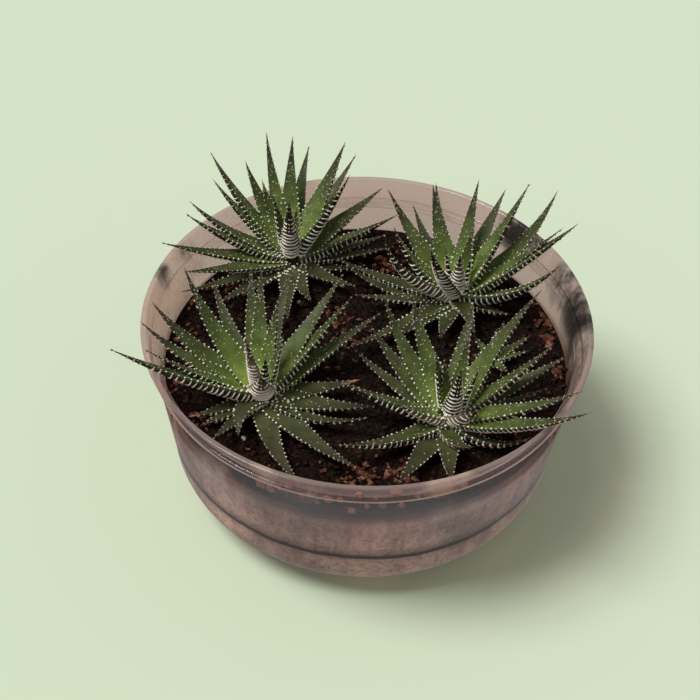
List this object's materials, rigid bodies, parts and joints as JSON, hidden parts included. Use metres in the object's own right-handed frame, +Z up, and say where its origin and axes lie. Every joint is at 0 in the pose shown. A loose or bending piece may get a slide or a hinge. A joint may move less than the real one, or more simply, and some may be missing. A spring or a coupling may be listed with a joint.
{
  "type": "potted haworthia",
  "caption": "Zebra haworthia rosettes with banded pointed leaves, planted in potting soil over drainage layers in a round translucent bowl with a flared rim.",
  "frame": {"origin": "the middle of the bowl's underside, on the surface that it stands on", "axes": "+Z up through the bowl's axis; +Y away from the camera of the picture, +X to its right"},
  "size_m": [0.2075, 0.2051, 0.123],
  "materials": {
    "smoked_bowl": "gloss, smoky rose, translucent",
    "gravel": "matt",
    "charcoal": "matt",
    "grit": "matt",
    "soil": "matt, damp",
    "leaf": "satin, waxy, with raised white bands"
  },
  "bodies": {
    "root": {"bowl": "smoked_bowl", "gravel_layer": "gravel", "charcoal_layer": "charcoal", "grit_layer": "grit", "potting_soil": "soil", "rosette_front_left": "leaf", "rosette_front_right": "leaf", "rosette_back_left": "leaf", "rosette_back_right": "leaf", "offset_right": "leaf"}
  },
  "joints": []
}
